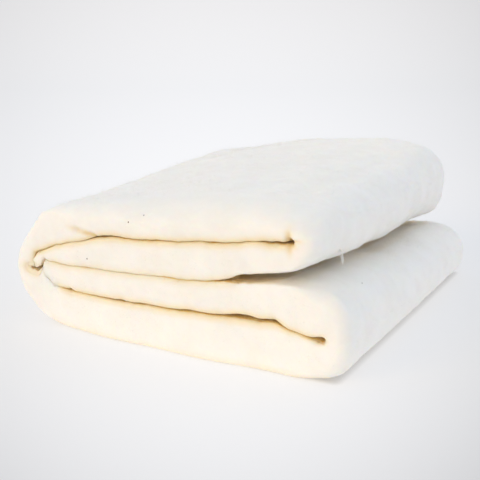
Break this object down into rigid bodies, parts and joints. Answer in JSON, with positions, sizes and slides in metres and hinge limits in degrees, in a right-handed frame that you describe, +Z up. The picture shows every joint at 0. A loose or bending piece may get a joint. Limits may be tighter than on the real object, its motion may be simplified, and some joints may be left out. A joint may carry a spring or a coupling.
{
  "type": "folded cotton batting",
  "caption": "Thick length of natural cotton batting with its ends folded in and then folded shut like a book, lying flat with its layered side edge in view.",
  "frame": {"origin": "middle of the bounding box at the underside, on the surface that the batting lies on", "axes": "+X from the round spine to the folded noses, +Y along the folds away from the front side edge, +Z up"},
  "size_m": [0.3109, 0.332, 0.1287],
  "materials": {
    "cotton": "matt unbleached cotton fibre, off-white with a warm cream cast in the folds"
  },
  "bodies": {
    "root": {"batting": "cotton"}
  },
  "joints": []
}
